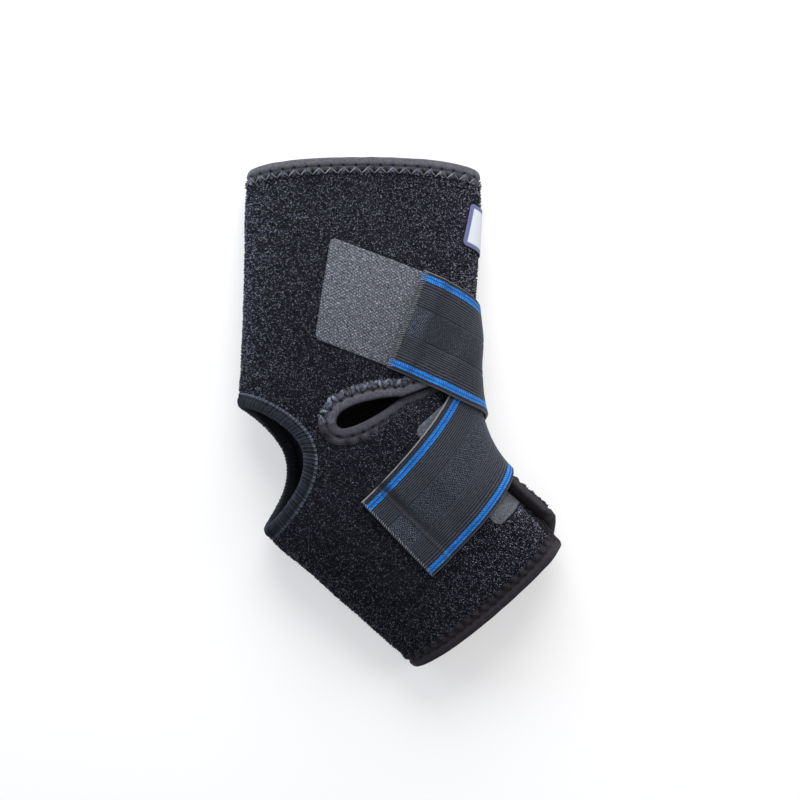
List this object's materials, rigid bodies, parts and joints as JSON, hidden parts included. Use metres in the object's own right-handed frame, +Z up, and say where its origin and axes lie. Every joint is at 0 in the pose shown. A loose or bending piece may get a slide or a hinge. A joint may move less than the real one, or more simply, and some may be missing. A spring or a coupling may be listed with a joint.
{
  "type": "open-heel ankle support lying on its side",
  "caption": "Neoprene ankle sleeve with an open heel, a slit front with bound edges and crossing elastic straps, lying flat on its side.",
  "frame": {"origin": "middle of the bounding box's footprint, on the surface that the support lies on", "axes": "+X towards the front of the leg, +Y up the leg, +Z up from the surface, through the side that is seen"},
  "size_m": [0.1608, 0.254, 0.0454],
  "materials": {
    "neoprene": "looped fleece facing",
    "edge_tape": "matt knitted tape",
    "heel_edge": "overlocked thread",
    "webbing": "ribbed elastic",
    "hook_tape": "woven hook tape",
    "label": "plain woven label"
  },
  "bodies": {
    "root": {"sleeve": "neoprene", "leg_binding": "edge_tape", "front_binding": "edge_tape", "heel_binding": "heel_edge", "strap_over": "webbing", "strap_under": "webbing", "strap_over_tab": "hook_tape", "strap_under_tab": "hook_tape", "instep_tab": "hook_tape", "label_patch": "label"}
  },
  "joints": []
}
